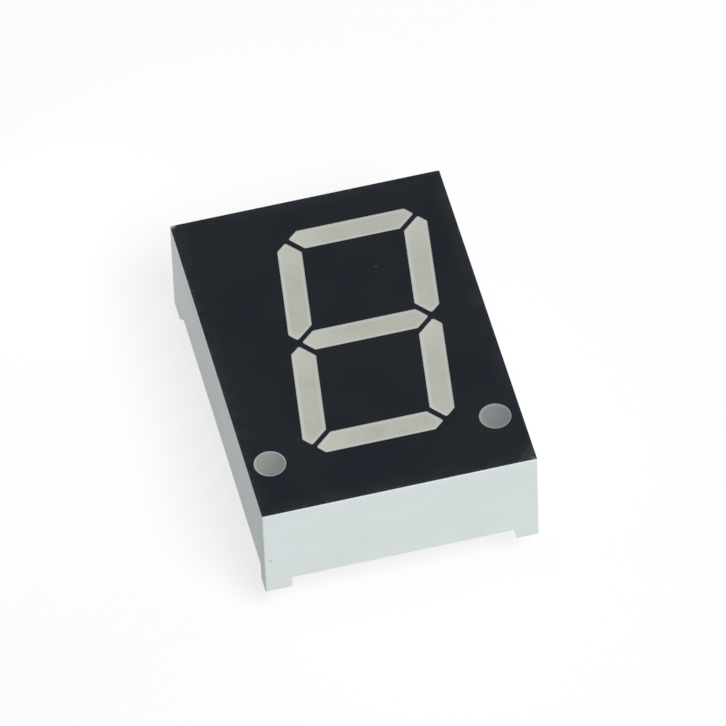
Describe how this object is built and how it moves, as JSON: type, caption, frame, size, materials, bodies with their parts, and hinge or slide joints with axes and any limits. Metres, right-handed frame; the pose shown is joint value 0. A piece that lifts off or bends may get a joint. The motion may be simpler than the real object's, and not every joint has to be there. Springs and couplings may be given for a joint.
{
  "type": "seven segment display",
  "caption": "Seven segment display: shallow white box with a black printed face, a leaning digit of pale segments, a point on each side, corner feet and straight leads in rows.",
  "frame": {"origin": "middle of the body's plan, in the plane of the lead tips", "axes": "+Z from the lead tips out of the face, +Y towards the top of the digit, +X to the right of someone reading it"},
  "size_m": [0.02, 0.0276, 0.012],
  "materials": {
    "housing_plastic": "satin",
    "face_ink": "matt black ink",
    "diffuser_resin": "milky cast resin",
    "laminate": "satin",
    "copper": "dull",
    "die": "satin",
    "gold": "bright",
    "solder": "bright",
    "potting_resin": "glossy cast resin",
    "tinned_lead": "tinned"
  },
  "bodies": {
    "root": {"reflector_housing": "housing_plastic", "face_print": "face_ink", "segment_a": "diffuser_resin", "segment_b": "diffuser_resin", "segment_c": "diffuser_resin", "segment_d": "diffuser_resin", "segment_e": "diffuser_resin", "segment_f": "diffuser_resin", "segment_g": "diffuser_resin", "point_left": "diffuser_resin", "point_right": "diffuser_resin", "circuit_board": "laminate", "board_tracks": "copper", "dice_a": "die", "dice_b": "die", "dice_c": "die", "dice_d": "die", "dice_e": "die", "dice_f": "die", "dice_g": "die", "die_point_left": "die", "die_point_right": "die", "bond_wires": "gold", "solder_joints": "solder", "back_resin": "potting_resin", "lead_2": "tinned_lead", "lead_3": "tinned_lead", "lead_4": "tinned_lead", "lead_5": "tinned_lead", "lead_6": "tinned_lead", "lead_7": "tinned_lead", "lead_10": "tinned_lead", "lead_11": "tinned_lead", "lead_12": "tinned_lead", "lead_13": "tinned_lead", "lead_14": "tinned_lead", "lead_15": "tinned_lead", "lead_17": "tinned_lead"}
  },
  "joints": []
}
